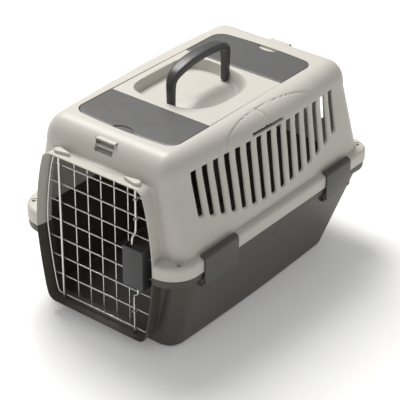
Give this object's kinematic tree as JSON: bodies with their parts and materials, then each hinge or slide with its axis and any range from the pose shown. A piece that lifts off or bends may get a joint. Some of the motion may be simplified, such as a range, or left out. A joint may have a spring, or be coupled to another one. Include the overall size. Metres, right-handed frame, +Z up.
{
  "type": "pet transport carrier",
  "caption": "Two-shell plastic pet carrier with a hinged wire door, squeeze latch, folding handle, storage lids and side clips.",
  "frame": {"origin": "middle of the footprint, on the surface the carrier stands on", "axes": "+Z up, door faces -Y, +X is the carrier's side with the latch seen from the door"},
  "size_m": [0.32, 0.49, 0.369],
  "materials": {
    "upper_plastic": "light warm grey moulded plastic, fine grain",
    "lower_plastic": "dark taupe moulded plastic, fine grain",
    "lid_plastic": "mid grey moulded plastic, fine grain",
    "handle_plastic": "dark grey moulded plastic, satin",
    "clip_plastic": "dark grey moulded plastic, satin",
    "latch_plastic": "dark grey moulded plastic, matte",
    "zinc_wire": "bright zinc plated wire",
    "spring_steel": "bright spring wire"
  },
  "bodies": {
    "shells": {"upper_shell": "upper_plastic", "lower_shell": "lower_plastic"},
    "front_lid": {"front_lid": "lid_plastic"},
    "rear_lid": {"rear_lid": "lid_plastic"},
    "handle": {"handle": "handle_plastic"},
    "clip_front_left": {"clip_front_left": "clip_plastic"},
    "clip_front_right": {"clip_front_right": "clip_plastic"},
    "clip_rear_left": {"clip_rear_left": "clip_plastic"},
    "clip_rear_right": {"clip_rear_right": "clip_plastic"},
    "door": {"door_frame_wire": "zinc_wire", "door_row_wire_1": "zinc_wire", "door_row_wire_2": "zinc_wire", "door_row_wire_3": "zinc_wire", "door_row_wire_4": "zinc_wire", "door_row_wire_5": "zinc_wire", "door_row_wire_6": "zinc_wire", "door_row_wire_7": "zinc_wire", "door_column_wire_1": "zinc_wire", "door_column_wire_2": "zinc_wire", "door_column_wire_3": "zinc_wire", "door_column_wire_4": "zinc_wire", "door_column_wire_5": "zinc_wire", "door_hinge_rod": "zinc_wire", "rod_guide_top": "zinc_wire", "rod_guide_middle": "zinc_wire", "rod_guide_bottom": "zinc_wire", "latch_housing": "latch_plastic", "latch_spring": "spring_steel"},
    "latch_slider": {"latch_slider": "latch_plastic"},
    "upper_rod": {"latch_rod_upper": "zinc_wire"},
    "lower_rod": {"latch_rod_lower": "zinc_wire"}
  },
  "joints": [
    {"name": "door_swing", "type": "hinge", "parent": "shells", "child": "door", "pos_m": [-0.0725, -0.2333, 0.14], "axis": [0, 0, -1], "range_deg": [0, 115]},
    {"name": "latch_squeeze", "type": "slide", "parent": "door", "child": "latch_slider", "axis": [-1, 0, 0], "range_m": [0, 0.005], "stiffness_N_per_m": 400, "springref_m": -0.003, "deforming": ["latch_spring"]},
    {"name": "upper_rod_slide", "type": "slide", "parent": "door", "child": "upper_rod", "axis": [0, 0, -1], "range_m": [0, 0.006]},
    {"name": "lower_rod_slide", "type": "slide", "parent": "door", "child": "lower_rod", "axis": [0, 0, 1], "range_m": [0, 0.006]},
    {"name": "front_lid_hinge", "type": "hinge", "parent": "shells", "child": "front_lid", "pos_m": [0, -0.0953, 0.3092], "axis": [-1, 0, 0], "range_deg": [0, 100]},
    {"name": "rear_lid_hinge", "type": "hinge", "parent": "shells", "child": "rear_lid", "pos_m": [0, 0.0833, 0.3092], "axis": [1, 0, 0], "range_deg": [0, 100]},
    {"name": "handle_fold", "type": "hinge", "parent": "shells", "child": "handle", "pos_m": [0, -0.003, 0.303], "axis": [0, -1, 0], "range_deg": [0, 82]},
    {"name": "clip_front_left_hinge", "type": "hinge", "parent": "shells", "child": "clip_front_left", "pos_m": [-0.1552, -0.147, 0.117], "axis": [0, -1, 0], "range_deg": [0, 95]},
    {"name": "clip_front_right_hinge", "type": "hinge", "parent": "shells", "child": "clip_front_right", "pos_m": [0.1552, -0.147, 0.117], "axis": [0, 1, 0], "range_deg": [0, 95]},
    {"name": "clip_rear_left_hinge", "type": "hinge", "parent": "shells", "child": "clip_rear_left", "pos_m": [-0.1552, 0.1485, 0.117], "axis": [0, -1, 0], "range_deg": [0, 95]},
    {"name": "clip_rear_right_hinge", "type": "hinge", "parent": "shells", "child": "clip_rear_right", "pos_m": [0.1552, 0.1485, 0.117], "axis": [0, 1, 0], "range_deg": [0, 95]}
  ],
  "couplings": [
    {"joint": "upper_rod_slide", "follows": "latch_squeeze", "ratio": 1.2},
    {"joint": "lower_rod_slide", "follows": "latch_squeeze", "ratio": 1.2}
  ]
}
